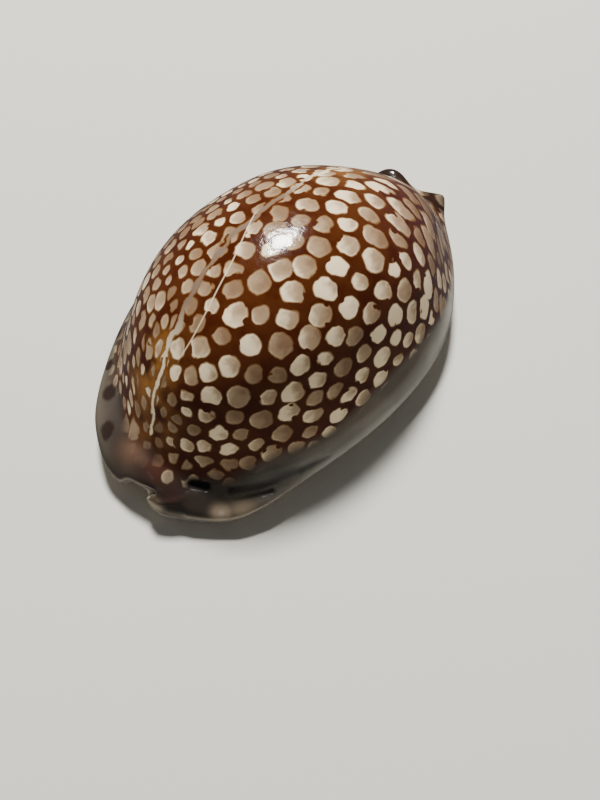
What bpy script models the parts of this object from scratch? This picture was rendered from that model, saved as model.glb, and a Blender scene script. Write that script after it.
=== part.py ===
"""A reticulated cowrie shell as one closed, hollow solid.

The shell lies on its base. +Z is up, the anterior end points along -Y, the posterior end along
+Y, the outer (labral) lip is on the -X side and the columellar lip on the +X side.
The wall is one sheet: over the dorsum, round the callused margin, under the base, through the
slit of the aperture and back over the inside of the chamber. The sheet is a coarse cage of
rings that share their columns, rounded by a Subdivision Surface. The teeth of both lips are
joined to it, and the base is cut flat where the shell touches the table.
"""

import math

import bmesh
import bpy
import numpy as np
from mathutils import Matrix

MM = 0.001

# Driving sizes
LENGTH = 69.0 * MM
LABRAL_WIDTH = 24.6 * MM
COLUMELLAR_WIDTH = 21.1 * MM
HEIGHT = 30.9 * MM
WALL = 2.2 * MM

# Top of the dorsum, in plan
TOP_X = 0.0 * MM
TOP_Y = 0.5 * MM

# Columns of the cage, closer together at the two ends
COLUMNS = 42
END_CROWDING = 0.45

# How much narrower each side is in front than behind
LABRAL_EGG = 0.01
COLUMELLAR_EGG = 0.10

# Dorsum: how far its rings reach from the top to the shoulder, and the roundness of its flanks
DOME_REACHES = (0.22, 0.46, 0.67, 0.85)
CEILING_REACHES = (0.78, 0.42)
ROUNDNESS = 1.75
FLATTER_FRONT = (0.22, 5, 40)
FLATTER_BACK = (0.74, 172, 42)
FLATTER_LABRAL = (0.52, 104, 37)
TOP_BREADTH = 2.5

# The hills and hollows round the shell below are a size, the angle of the middle and a half width.
# The angle is 0 at the anterior end, 90 at the labral side, 180 behind and 270 at the columella.

# Shoulder, where the dorsum ends and the callus begins
SHOULDER_SHARE = 0.945
SHOULDER_Z = 7.4 * MM
SHOULDER_BACK_RISE = (2.4 * MM, 180, 20)
ANTERIOR_INSET = 5.2 * MM
POSTERIOR_INSET = 3.7 * MM

# Callused margin
LABRAL_FLANGE = (1.5 * MM, 22, 15)
LABRAL_WAIST = (0.4 * MM, 54, 11)
LABRAL_TAPER = (1.2 * MM, 146, 18)
COLUMELLAR_FLANGE = (2.9 * MM, 325, 17)
COLUMELLAR_TAPER = (1.7 * MM, 213, 14)
COLUMELLAR_WAIST = (0.9 * MM, 231, 11)
LABRAL_LOBE = (1.3 * MM, 11, 5)
COLUMELLAR_LOBE = (1.2 * MM, 350, 6)
LABRAL_BEAK = (0.9 * MM, 168, 7)
COLUMELLAR_BEAK = (2.6 * MM, 188, 6)

# Heights of the rim, with its rises and dips
RIM_Z = 4.2 * MM
POSTERIOR_RISE = (2.3 * MM, 180, 14)
LABRAL_BEAK_RISE = (2.4 * MM, 167, 8)
COLUMELLAR_BEAK_RISE = (0.9 * MM, 188, 6)
COLUMELLAR_DIP = (1.2 * MM, 335, 14)

# Groove between the dorsum and the flanges
NECK_Z = 6.6 * MM
NECK_SHARE = 0.35
NECK_FRONT_RISE = (1.2 * MM, 0, 16)
NECK_BACK_RISE = (2.4 * MM, 180, 16)
COLUMELLAR_GROOVE = (2.0 * MM, 322, 20)
LABRAL_GROOVE = (0.8 * MM, 35, 20)

# The upper and the lower face of the margin
UPPER_SHARE = 0.10
UPPER_RISE = 1.4 * MM
UNDER_SHARE = 0.09
UNDER_DROP = 2.4 * MM

# The canals, one at each end: how far their roof stands back, and how high it is
ANTERIOR_CANAL_PLACE = (0.5, 7.5)
POSTERIOR_CANAL_PLACE = (180.0, 6.5)
ANTERIOR_NOTCH = 0.9 * MM
POSTERIOR_NOTCH = 0.7 * MM
ANTERIOR_ROOF_RISE = 2.4 * MM
CANAL_CEILING = 5.4 * MM
CANAL_ARCH = 0.4 * MM
UNDER_CANAL_RISE = 0.6 * MM

# Base: how far in from the rim its rings lie, and how deep it dips before it is cut flat
BASE_SHARES = (0.28, 0.58)
BASE_DIPS = (0.15 * MM, 0.70 * MM)

# Aperture: the slit, its curved middle line and the rings along its lips
SLIT_HALF = 1.75 * MM
SLIT_FLARE = 0.5 * MM
SLIT_LENGTH = 62.0 * MM
SLIT_END = 0.11
SLIT_MIDDLE = (-1.6 * MM, 0.0, 1.9 * MM, 1.2 * MM)
LIP_OUTSIDE_WIDEN = 2.0 * MM
LIP_OUTSIDE_Z = 0.7 * MM
LIP_Z = 2.4 * MM
SLIT_TOP_WIDEN = 0.5 * MM
SLIT_TOP_SHORTEN = 5.0 * MM
SLIT_TOP_Z = 5.2 * MM

# Chamber
FLOOR_SHARE = 0.55
FLOOR_Z = 7.6 * MM
WALL_FOOT_REACH = 0.97
WALL_FOOT_Z = 13.0 * MM
WALL_FOOT = 3.4 * MM

# Teeth: rods from the base over the edge of the lip. Each step is a distance from the edge, as a
# share of the reach, a height in the slit and a share of the radius.
TOOTH_COUNT = 23
TEETH_LENGTH = 50.0 * MM
TOOTH_RADIUS = 0.70 * MM
LABRAL_TOOTH_REACH = 4.8 * MM
COLUMELLAR_TOOTH_REACH = 3.6 * MM
TOOTH_STEPS = (
    (1.00, 0.75 * MM, 0.35),
    (0.45, 1.00 * MM, 0.95),
    (0.06, 2.40 * MM, 1.00),
    (0.08, 4.50 * MM, 0.60),
)
WELD = 0.01 * MM

SHELL_BROWN = (0.16, 0.055, 0.02, 1.0)
GLOSS_ROUGHNESS = 0.15


def gap_to(angle, centre):
    """Signed distance round the shell, in degrees."""
    return (angle - centre + 180.0) % 360.0 - 180.0


def bump(angle, centre, width):
    """A smooth hill, 1 at its centre."""
    return np.exp(-((gap_to(angle, centre) / width) ** 2))


def plateau(angle, centre, width):
    """A hill with a flat top and steep sides."""
    return np.exp(-((gap_to(angle, centre) / width) ** 4))


def column_angles():
    """Angles of the columns round the shell, crowded at both ends."""
    even = np.arange(COLUMNS) * (2 * math.pi / COLUMNS)
    return np.degrees(even - END_CROWDING / 2 * np.sin(2 * even))


ANGLE = column_angles()
SIN = np.sin(np.radians(ANGLE))
COS = np.cos(np.radians(ANGLE))
ANTERIOR_CANAL = plateau(ANGLE, *ANTERIOR_CANAL_PLACE)
POSTERIOR_CANAL = bump(ANGLE, *POSTERIOR_CANAL_PLACE)
CANALS = ANTERIOR_CANAL + POSTERIOR_CANAL


def hill(shape):
    """One of the named hills, at every column of the cage."""
    size, centre, width = shape
    return size * bump(ANGLE, centre, width)


def ring(x, y, z):
    """One ring of the cage as an array of points."""
    return np.stack(np.broadcast_arrays(x, y, z), axis=1)


def outline():
    """The shell's half width at every column, drawn in towards the posterior end."""
    labral = LABRAL_WIDTH * (1 - LABRAL_EGG * COS)
    columellar = COLUMELLAR_WIDTH * (1 - COLUMELLAR_EGG * COS)
    taper = hill(LABRAL_TAPER) + hill(COLUMELLAR_TAPER) + hill(COLUMELLAR_WAIST)
    return -np.where(SIN > 0, labral, columellar) * SIN + np.sign(SIN) * taper


def rim_ring():
    """The outermost edge: flanges in front, lobes beside the front canal, beaks beside the back one."""
    x = outline() - hill(LABRAL_FLANGE) + hill(LABRAL_WAIST) + hill(COLUMELLAR_FLANGE)
    notches = ANTERIOR_NOTCH * ANTERIOR_CANAL + POSTERIOR_NOTCH * POSTERIOR_CANAL
    lobes = hill(LABRAL_LOBE) + hill(COLUMELLAR_LOBE)
    beaks = hill(LABRAL_BEAK) + hill(COLUMELLAR_BEAK)
    y = -(LENGTH / 2 - notches) * COS - lobes + beaks
    rises = hill(POSTERIOR_RISE) + hill(LABRAL_BEAK_RISE) + hill(COLUMELLAR_BEAK_RISE)
    z = RIM_Z + ANTERIOR_ROOF_RISE * ANTERIOR_CANAL + rises - hill(COLUMELLAR_DIP)
    return ring(x, y, z)


def shoulder_ring():
    """Where the dorsum meets the callus."""
    inset = np.where(COS > 0, ANTERIOR_INSET, POSTERIOR_INSET)
    y = -(LENGTH / 2 - inset) * COS
    return ring(outline() * SHOULDER_SHARE, y, SHOULDER_Z + hill(SHOULDER_BACK_RISE))


RIM = rim_ring()
SHOULDER = shoulder_ring()


def dome_ring(reach, inset=0.0):
    """A ring of the dorsum, reach 0 at its top and 1 at the shoulder. inset moves it inwards."""
    top = np.array([TOP_X, TOP_Y])
    out = SHOULDER[:, :2] - top
    size = np.linalg.norm(out, axis=1)[:, None]
    plan = top + out * reach * (size - inset) / size
    roundness = ROUNDNESS - hill(FLATTER_FRONT) - hill(FLATTER_BACK) - hill(FLATTER_LABRAL)
    rise = (1 - reach**TOP_BREADTH) ** (1 / roundness)
    z = SHOULDER[:, 2] + (HEIGHT - inset - SHOULDER[:, 2]) * rise
    return ring(plan[:, 0], plan[:, 1], z)


def between(outer, inner, share, z):
    """A ring part of the way in plan from outer to inner, at its own height."""
    plan = outer[:, :2] + (inner[:, :2] - outer[:, :2]) * share
    return ring(plan[:, 0], plan[:, 1], z)


def slit_middle(y):
    """Middle of the slit, which curves towards the columella behind the middle."""
    share = y / (LENGTH / 2)
    return sum(term * share**power for power, term in enumerate(SLIT_MIDDLE))


def slit_half(y):
    """Half the width of the slit, which opens a little towards the anterior end."""
    share = y / (LENGTH / 2)
    return SLIT_HALF + SLIT_FLARE * np.clip(-share, 0, 1) ** 2


def lip_ring(widen, length, z, canal_z):
    """A ring along both lips, joined under the roof of each canal."""
    y = -length / 2 * COS
    side = -np.tanh(SIN / SLIT_END)
    x = slit_middle(y) + (slit_half(y) + widen) * side
    return ring(x, y, z + (canal_z - z) * CANALS)


LIP = lip_ring(0.0, SLIT_LENGTH, LIP_Z, CANAL_CEILING - CANAL_ARCH)


def margin_rings():
    """The groove beside the dorsum, and the upper edge, rim and lower edge of the margin."""
    inward = -SHOULDER[:, :2] / np.linalg.norm(SHOULDER[:, :2], axis=1)[:, None]
    groove = hill(COLUMELLAR_GROOVE) + hill(LABRAL_GROOVE)
    neck = between(SHOULDER, RIM, NECK_SHARE, NECK_Z + hill(NECK_FRONT_RISE) + hill(NECK_BACK_RISE))
    neck[:, :2] += inward * groove[:, None]
    upper = between(RIM, SHOULDER, UPPER_SHARE, RIM[:, 2] + UPPER_RISE)
    under = between(RIM, LIP, UNDER_SHARE, RIM[:, 2] - UNDER_DROP + UNDER_CANAL_RISE * CANALS)
    return [neck, upper, RIM, under]


def base_rings():
    """The base, dipping below the table between the margin and the lips."""
    rings = []
    for share, dip in zip(BASE_SHARES, BASE_DIPS):
        rings.append(between(RIM, LIP, share, -dip + (CANAL_CEILING + dip) * CANALS))
    length = SLIT_LENGTH + LIP_OUTSIDE_WIDEN
    rings.append(lip_ring(LIP_OUTSIDE_WIDEN, length, LIP_OUTSIDE_Z, CANAL_CEILING - CANAL_ARCH))
    return rings


def inner_rings():
    """The lip, the inner side of the slit, and the floor and the foot of the wall of the chamber."""
    slit_length = SLIT_LENGTH - SLIT_TOP_SHORTEN
    slit_top = lip_ring(SLIT_TOP_WIDEN, slit_length, SLIT_TOP_Z, CANAL_CEILING + CANAL_ARCH)
    floor = between(slit_top, SHOULDER, FLOOR_SHARE, FLOOR_Z)
    wall_foot = dome_ring(WALL_FOOT_REACH, WALL_FOOT)
    wall_foot[:, 2] = WALL_FOOT_Z
    return [LIP, slit_top, floor, wall_foot]


def cage_rings():
    """Rings from the top of the dorsum, over the outside, through the slit, to the chamber's ceiling."""
    dorsum = [dome_ring(reach) for reach in DOME_REACHES]
    ceiling = [dome_ring(reach, WALL) for reach in CEILING_REACHES]
    return dorsum + [SHOULDER] + margin_rings() + base_rings() + inner_rings() + ceiling


def build_cage():
    """The cage as a mesh: a fan at the top, bands between the rings, and a fan on the ceiling."""
    rings = cage_rings()
    points = [(TOP_X, TOP_Y, HEIGHT)]
    for points_round in rings:
        points += [tuple(point) for point in points_round]
    points.append((TOP_X, TOP_Y, HEIGHT - WALL))
    last = len(points) - 1
    faces = []
    for column in range(COLUMNS):
        following = (column + 1) % COLUMNS
        faces.append((0, 1 + following, 1 + column))
        for row in range(len(rings) - 1):
            here = 1 + row * COLUMNS
            below = here + COLUMNS
            faces.append((here + column, here + following, below + following, below + column))
        end = 1 + (len(rings) - 1) * COLUMNS
        faces.append((end + column, end + following, last))
    mesh = bpy.data.meshes.new("shell")
    mesh.from_pydata(points, [], faces)
    mesh.update()
    return mesh


def tooth_path(y, side, reach):
    """From the base, round the edge of the lip and up into the slit, with the radius at each point."""
    path = []
    for out, height, share in TOOTH_STEPS:
        x = slit_middle(y) + side * (slit_half(y) + out * reach)
        path.append(((x, y, height), TOOTH_RADIUS * share))
    return path


def tooth_rod(path, collection):
    """A tapered, bent rod along the path."""
    curve = bpy.data.curves.new("rod", "CURVE")
    curve.dimensions = "3D"
    curve.bevel_depth = 1.0
    curve.bevel_resolution = 1
    curve.use_fill_caps = True
    spline = curve.splines.new("POLY")
    spline.points.add(len(path) - 1)
    for point, (place, radius) in zip(spline.points, path):
        point.co = (*place, 1.0)
        point.radius = radius
    rod = bpy.data.objects.new("rod", curve)
    collection.objects.link(rod)
    return rod


def build_teeth(collection):
    """Every tooth of both lips, in one mesh of separate rods."""
    rods = []
    for side, reach in ((-1, LABRAL_TOOTH_REACH), (1, COLUMELLAR_TOOTH_REACH)):
        for index in range(TOOTH_COUNT):
            y = TEETH_LENGTH * (index / (TOOTH_COUNT - 1) - 0.5)
            rods.append(tooth_rod(tooth_path(y, side, reach), collection))
    depsgraph = bpy.context.evaluated_depsgraph_get()
    joined = bmesh.new()
    for rod in rods:
        mesh = bpy.data.meshes.new_from_object(rod.evaluated_get(depsgraph))
        joined.from_mesh(mesh)
        bpy.data.meshes.remove(mesh)
        bpy.data.objects.remove(rod)
    bmesh.ops.remove_doubles(joined, verts=joined.verts, dist=WELD)
    bmesh.ops.recalc_face_normals(joined, faces=joined.faces)
    mesh = bpy.data.meshes.new("teeth")
    joined.to_mesh(mesh)
    joined.free()
    teeth = bpy.data.objects.new("teeth", mesh)
    collection.objects.link(teeth)
    return teeth


def build_table(collection):
    """The block that cuts the base flat where the shell touches the table."""
    block = bmesh.new()
    bmesh.ops.create_cube(block, size=1.0)
    bmesh.ops.scale(block, vec=(2 * LENGTH, 2 * LENGTH, LENGTH), verts=block.verts)
    bmesh.ops.translate(block, vec=(0, 0, -LENGTH / 2), verts=block.verts)
    mesh = bpy.data.meshes.new("table")
    block.to_mesh(mesh)
    block.free()
    table = bpy.data.objects.new("table", mesh)
    collection.objects.link(table)
    return table


def shell_material():
    """Glossy dark brown, the colour of the network between the spots."""
    material = bpy.data.materials.new("glossy_brown_shell")
    material.use_nodes = True
    surface = material.node_tree.nodes["Principled BSDF"]
    surface.inputs["Base Color"].default_value = SHELL_BROWN
    surface.inputs["Roughness"].default_value = GLOSS_ROUGHNESS
    surface.inputs["Metallic"].default_value = 0.0
    return material


def boolean(target, tool, operation):
    """Joins the tool to the target, or cuts it away."""
    tool.hide_render = True
    tool.display_type = "WIRE"
    step = target.modifiers.new(tool.name, "BOOLEAN")
    step.operation = operation
    step.solver = "EXACT"
    step.object = tool


def centre(shell, teeth):
    """Moves both meshes so that the middle of the shell's box, in plan, is at the origin."""
    depsgraph = bpy.context.evaluated_depsgraph_get()
    rounded = shell.evaluated_get(depsgraph).to_mesh()
    points = np.array([vertex.co for vertex in rounded.vertices])
    middle = (points.min(axis=0) + points.max(axis=0)) / 2
    shift = Matrix.Translation((-middle[0], -middle[1], 0.0))
    shell.data.transform(shift)
    teeth.data.transform(shift)


def build():
    """The finished shell in its collection, with its tools in another."""
    for old in list(bpy.data.objects):
        bpy.data.objects.remove(old)
    parts = bpy.data.collections.new("cowrie_shell")
    cutters = bpy.data.collections.new("cutters")
    bpy.context.scene.collection.children.link(parts)
    bpy.context.scene.collection.children.link(cutters)
    shell = bpy.data.objects.new("shell", build_cage())
    parts.objects.link(shell)
    shell.data.materials.append(shell_material())
    rounding = shell.modifiers.new("rounding", "SUBSURF")
    rounding.levels = 1
    rounding.render_levels = 1
    teeth = build_teeth(cutters)
    centre(shell, teeth)
    boolean(shell, teeth, "UNION")
    boolean(shell, build_table(cutters), "DIFFERENCE")
    shell.data.shade_smooth()
    return shell


build()
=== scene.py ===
# %% [markdown]
# # A reticulated cowrie shell
# A cowrie is one piece: the animal laid down a closed, glossy shell with a long slit underneath.
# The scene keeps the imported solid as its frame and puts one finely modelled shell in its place.
# First the frame is loaded, because it gives the box that the visible shell has to fit.

# %% Load the frame
import math
from functools import partial

import bpy
import numpy as np
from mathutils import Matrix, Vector


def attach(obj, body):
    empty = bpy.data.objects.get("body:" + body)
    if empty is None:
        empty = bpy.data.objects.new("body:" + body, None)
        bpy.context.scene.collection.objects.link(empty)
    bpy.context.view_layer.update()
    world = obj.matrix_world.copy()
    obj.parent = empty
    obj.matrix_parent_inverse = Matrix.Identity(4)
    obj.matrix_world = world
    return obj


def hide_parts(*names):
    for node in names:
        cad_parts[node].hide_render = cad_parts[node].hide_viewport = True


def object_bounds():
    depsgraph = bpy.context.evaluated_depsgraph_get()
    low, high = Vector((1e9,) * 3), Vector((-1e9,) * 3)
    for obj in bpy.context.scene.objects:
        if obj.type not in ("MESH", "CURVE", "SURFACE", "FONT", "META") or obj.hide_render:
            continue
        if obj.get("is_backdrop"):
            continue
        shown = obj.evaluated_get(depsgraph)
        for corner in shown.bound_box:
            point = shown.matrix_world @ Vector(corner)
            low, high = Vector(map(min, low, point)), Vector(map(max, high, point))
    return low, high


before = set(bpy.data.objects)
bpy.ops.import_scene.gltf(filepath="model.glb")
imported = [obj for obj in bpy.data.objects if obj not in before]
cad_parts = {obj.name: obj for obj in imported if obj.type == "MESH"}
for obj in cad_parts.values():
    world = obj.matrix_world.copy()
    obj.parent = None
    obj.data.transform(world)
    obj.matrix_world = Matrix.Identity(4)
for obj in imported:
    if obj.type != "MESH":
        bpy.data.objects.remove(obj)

MM = 0.001
cad_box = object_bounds()
cad_low, cad_high = np.array(cad_box[0]), np.array(cad_box[1])
print("nodes", sorted(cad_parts), "size in mm", np.round((cad_high - cad_low) / MM, 1))

# %% [markdown]
# ## The rule of the form
# Seen from above, a cowrie is an egg with a flange on each side in front and two short beaks behind.
# Its wall can be followed as a stack of closed rings: over the dorsum, round the callused margin,
# under the base, through the slit and over the ceiling of the chamber. Modelling it by pushing
# points about would work too, but rings that share their columns keep every part of the wall on
# one smooth sheet, and each lobe, notch and beak is a named hill on a ring.

# %% Sizes of the shell
LENGTH = 69.0 * MM
LABRAL_WIDTH = 24.6 * MM
COLUMELLAR_WIDTH = 21.1 * MM
HEIGHT = 30.9 * MM
WALL = 2.2 * MM
TOP_X = 0.0 * MM
TOP_Y = 0.5 * MM
COLUMNS = 42
END_CROWDING = 0.45
LABRAL_EGG = 0.01
COLUMELLAR_EGG = 0.10
DOME_REACHES = (0.22, 0.46, 0.67, 0.85)
CEILING_REACHES = (0.78, 0.42)
ROUNDNESS = 1.75
FLATTER_FRONT = (0.22, 5, 40)
FLATTER_BACK = (0.74, 172, 42)
FLATTER_LABRAL = (0.52, 104, 37)
TOP_BREADTH = 2.5
SHOULDER_SHARE = 0.945
SHOULDER_SPREAD = (0.035, 226, 32)
POSTERIOR_SPREAD = (2.0 * MM, 210, 24)
SHOULDER_Z = 7.4 * MM
SHOULDER_BACK_RISE = (2.4 * MM, 180, 20)
ANTERIOR_INSET = 5.2 * MM
POSTERIOR_INSET = 3.7 * MM
print("shell", round(LENGTH / MM, 1), "mm long on its rings,", COLUMNS, "columns")

# %% [markdown]
# The hills of the margin are a size, the angle of the middle and a half width in degrees.
# The angle is 0 at the anterior end, 90 at the outer lip, 180 behind and 270 at the columella.

# %% Hills of the margin and the base
LABRAL_FLANGE = (1.5 * MM, 22, 15)
LABRAL_WAIST = (0.4 * MM, 54, 11)
LABRAL_TAPER = (1.2 * MM, 146, 18)
COLUMELLAR_FLANGE = (2.9 * MM, 325, 17)
COLUMELLAR_TAPER = (1.7 * MM, 213, 14)
COLUMELLAR_WAIST = (0.9 * MM, 231, 11)
LABRAL_LOBE = (1.3 * MM, 11, 5)
COLUMELLAR_LOBE = (1.2 * MM, 350, 6)
LABRAL_BEAK = (0.9 * MM, 168, 7)
COLUMELLAR_BEAK = (2.6 * MM, 188, 6)
RIM_Z = 4.2 * MM
POSTERIOR_RISE = (2.3 * MM, 180, 14)
LABRAL_BEAK_RISE = (2.4 * MM, 167, 8)
COLUMELLAR_BEAK_RISE = (0.9 * MM, 188, 6)
COLUMELLAR_DIP = (1.2 * MM, 335, 14)
NECK_Z = 6.6 * MM
NECK_SHARE = 0.35
NECK_SPREAD = (0.45, 245, 45)
NECK_FRONT_RISE = (1.7 * MM, 2, 18)
NECK_BACK_RISE = (2.4 * MM, 180, 16)
COLUMELLAR_GROOVE = (0.9 * MM, 330, 16)
LABRAL_GROOVE = (0.8 * MM, 35, 20)
UPPER_SHARE = 0.10
UPPER_RISE = 1.4 * MM
UPPER_CANAL_DROP = 0.9 * MM
UNDER_SHARE = 0.09
UNDER_DROP = 2.4 * MM
ANTERIOR_CANAL_PLACE = (0.5, 7.5)
POSTERIOR_CANAL_PLACE = (180.0, 6.5)
ANTERIOR_NOTCH = 0.9 * MM
POSTERIOR_NOTCH = 0.7 * MM
ANTERIOR_ROOF_RISE = 2.4 * MM
CANAL_CEILING = 5.4 * MM
CANAL_ARCH = 0.4 * MM
UNDER_CANAL_RISE = 0.6 * MM
BASE_SHARES = (0.28, 0.58)
BASE_DIPS = (0.15 * MM, 0.70 * MM)
SLIT_HALF = 1.75 * MM
SLIT_FLARE = 0.5 * MM
SLIT_LENGTH = 62.0 * MM
SLIT_END = 0.11
SLIT_MIDDLE = (-1.6 * MM, 0.0, 1.9 * MM, 1.2 * MM)
LIP_OUTSIDE_WIDEN = 2.0 * MM
LIP_OUTSIDE_Z = 0.7 * MM
LIP_Z = 2.4 * MM
SLIT_TOP_WIDEN = 0.5 * MM
SLIT_TOP_SHORTEN = 5.0 * MM
SLIT_TOP_Z = 5.2 * MM
FLOOR_SHARE = 0.55
FLOOR_Z = 7.6 * MM
WALL_FOOT_REACH = 0.97
WALL_FOOT_Z = 13.0 * MM
WALL_FOOT = 3.4 * MM


def gap_to(angle, centre):
    """Signed distance round the shell, in degrees."""
    return (angle - centre + 180.0) % 360.0 - 180.0


def bell(value):
    """1 at zero, falling smoothly to both sides."""
    return np.exp(-(value**2))


def bump(angle, centre, width):
    """A smooth hill, 1 at its centre."""
    return bell(gap_to(angle, centre) / width)


def plateau(angle, centre, width):
    """A hill with a flat top and steep sides."""
    return np.exp(-((gap_to(angle, centre) / width) ** 4))


def smooth(low_edge, high_edge, value):
    """0 below one edge, 1 above the other and an even slope between."""
    share = np.clip((value - low_edge) / (high_edge - low_edge), 0, 1)
    return share * share * (3 - 2 * share)


even = np.arange(COLUMNS) * (2 * math.pi / COLUMNS)
ANGLE = np.degrees(even - END_CROWDING / 2 * np.sin(2 * even))
SIN = np.sin(np.radians(ANGLE))
COS = np.cos(np.radians(ANGLE))
ANTERIOR_CANAL = plateau(ANGLE, *ANTERIOR_CANAL_PLACE)
POSTERIOR_CANAL = bump(ANGLE, *POSTERIOR_CANAL_PLACE)
CANALS = ANTERIOR_CANAL + POSTERIOR_CANAL


def hills_round(angles, hills, start=0.0):
    """The sum of hills round the shell, each a size, the angle of its middle and a half width."""
    return sum((size * bump(angles, centre, width) for size, centre, width in hills), start)


def hill(shape):
    """One of the named hills, at every column."""
    return hills_round(ANGLE, [shape])


def ring(x, y, z):
    """One ring as an array of points."""
    return np.stack(np.broadcast_arrays(x, y, z), axis=1)


print("canals at columns", np.where(CANALS > 0.5)[0])

# %% [markdown]
# ## Rings of the wall
# The rim is the outermost edge of the callus, and the shoulder is where the dorsum ends.
# All rings of the dorsum are the shoulder drawn in towards the top, so they stay nested.

# %% Rim and shoulder
labral = LABRAL_WIDTH * (1 - LABRAL_EGG * COS)
columellar = COLUMELLAR_WIDTH * (1 - COLUMELLAR_EGG * COS)
taper = hill(LABRAL_TAPER) + hill(COLUMELLAR_TAPER) + hill(COLUMELLAR_WAIST)
outline = -np.where(SIN > 0, labral, columellar) * SIN + np.sign(SIN) * taper

notches = ANTERIOR_NOTCH * ANTERIOR_CANAL + POSTERIOR_NOTCH * POSTERIOR_CANAL
lobes = hill(LABRAL_LOBE) + hill(COLUMELLAR_LOBE)
beaks = hill(LABRAL_BEAK) + hill(COLUMELLAR_BEAK)
rises = hill(POSTERIOR_RISE) + hill(LABRAL_BEAK_RISE) + hill(COLUMELLAR_BEAK_RISE)
RIM = ring(
    outline - hill(LABRAL_FLANGE) + hill(LABRAL_WAIST) + hill(COLUMELLAR_FLANGE),
    -(LENGTH / 2 - notches) * COS - lobes + beaks,
    RIM_Z + ANTERIOR_ROOF_RISE * ANTERIOR_CANAL + rises - hill(COLUMELLAR_DIP),
)
inset = np.where(COS > 0, ANTERIOR_INSET, POSTERIOR_INSET - hill(POSTERIOR_SPREAD))
SHOULDER = ring(
    outline * (SHOULDER_SHARE + hill(SHOULDER_SPREAD)),
    -(LENGTH / 2 - inset) * COS,
    SHOULDER_Z + hill(SHOULDER_BACK_RISE),
)
print("rim width in mm", round(float(np.ptp(RIM[:, 0])) / MM, 1))

# %% Rings of the dorsum, the margin, the base and the chamber
def dome_ring(reach, inset=0.0):
    """A ring of the dorsum, reach 0 at its top and 1 at the shoulder. inset moves it inwards."""
    top = np.array([TOP_X, TOP_Y])
    out = SHOULDER[:, :2] - top
    size = np.linalg.norm(out, axis=1)[:, None]
    plan = top + out * reach * (size - inset) / size
    roundness = ROUNDNESS - hill(FLATTER_FRONT) - hill(FLATTER_BACK) - hill(FLATTER_LABRAL)
    rise = (1 - reach**TOP_BREADTH) ** (1 / roundness)
    z = SHOULDER[:, 2] + (HEIGHT - inset - SHOULDER[:, 2]) * rise
    return ring(plan[:, 0], plan[:, 1], z)


def between(outer, inner, share, z):
    """A ring part of the way in plan from outer to inner, at its own height."""
    plan = outer[:, :2] + (inner[:, :2] - outer[:, :2]) * share
    return ring(plan[:, 0], plan[:, 1], z)


def slit_middle(y):
    """Middle of the slit, which curves towards the columella behind the middle."""
    share = y / (LENGTH / 2)
    return sum(term * share**power for power, term in enumerate(SLIT_MIDDLE))


def slit_half(y):
    """Half the width of the slit, which opens a little towards the anterior end."""
    share = y / (LENGTH / 2)
    return SLIT_HALF + SLIT_FLARE * np.clip(-share, 0, 1) ** 2


def lip_ring(widen, length, z, canal_z):
    """A ring along both lips, joined under the roof of each canal."""
    y = -length / 2 * COS
    side = -np.tanh(SIN / SLIT_END)
    x = slit_middle(y) + (slit_half(y) + widen) * side
    return ring(x, y, z + (canal_z - z) * CANALS)


LIP = lip_ring(0.0, SLIT_LENGTH, LIP_Z, CANAL_CEILING - CANAL_ARCH)

inward = -SHOULDER[:, :2] / np.linalg.norm(SHOULDER[:, :2], axis=1)[:, None]
neck_share = (NECK_SHARE + hill(NECK_SPREAD))[:, None]
neck_z = NECK_Z + hill(NECK_FRONT_RISE) + hill(NECK_BACK_RISE)
neck = between(SHOULDER, RIM, neck_share, neck_z)
neck[:, :2] += inward * (hill(COLUMELLAR_GROOVE) + hill(LABRAL_GROOVE))[:, None]
upper_z = RIM[:, 2] + UPPER_RISE - UPPER_CANAL_DROP * ANTERIOR_CANAL
upper = between(RIM, SHOULDER, UPPER_SHARE, upper_z)
under_z = RIM[:, 2] - UNDER_DROP + UNDER_CANAL_RISE * CANALS
margin = [neck, upper, RIM, between(RIM, LIP, UNDER_SHARE, under_z)]

# The base dips below the table between the margin and the lips, and is flattened there later.
base = [
    between(RIM, LIP, share, -dip + (CANAL_CEILING + dip) * CANALS)
    for share, dip in zip(BASE_SHARES, BASE_DIPS)
]
outside_length = SLIT_LENGTH + LIP_OUTSIDE_WIDEN
base += [lip_ring(LIP_OUTSIDE_WIDEN, outside_length, LIP_OUTSIDE_Z, CANAL_CEILING - CANAL_ARCH), LIP]

slit_length = SLIT_LENGTH - SLIT_TOP_SHORTEN
slit_top = lip_ring(SLIT_TOP_WIDEN, slit_length, SLIT_TOP_Z, CANAL_CEILING + CANAL_ARCH)
wall_foot = dome_ring(WALL_FOOT_REACH, WALL_FOOT)
wall_foot[:, 2] = WALL_FOOT_Z
chamber = [slit_top, between(slit_top, SHOULDER, FLOOR_SHARE, FLOOR_Z), wall_foot]

rings = [dome_ring(reach) for reach in DOME_REACHES] + [SHOULDER] + margin + base + chamber
rings += [dome_ring(reach, WALL) for reach in CEILING_REACHES]
print(len(rings), "rings")

# %% [markdown]
# ## One smooth sheet through the rings
# A Subdivision Surface on the cage tends to a cubic B-spline. Working that spline out directly
# gives the same form, and lets the points lie where they are needed: half a millimetre apart on
# the dorsum for crisp spots, closer along the toothed lips, and wide apart inside the chamber.

# %% Spline weights
def spline_matrix(places, count, closed):
    """Weights of the control points at each place along a uniform cubic B-spline."""
    whole = np.floor(places).astype(int)
    part = places - whole
    weights = ((1 - part) ** 3, 3 * part**3 - 6 * part**2 + 4)
    weights += (-3 * part**3 + 3 * part**2 + 3 * part + 1, part**3)
    matrix = np.zeros((len(places), count))
    for step, weight in enumerate(weights):
        index = whole - 1 + step
        index = index % count if closed else np.clip(index, 0, count - 1)
        matrix[np.arange(len(places)), index] += weight / 6
    return matrix


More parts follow.
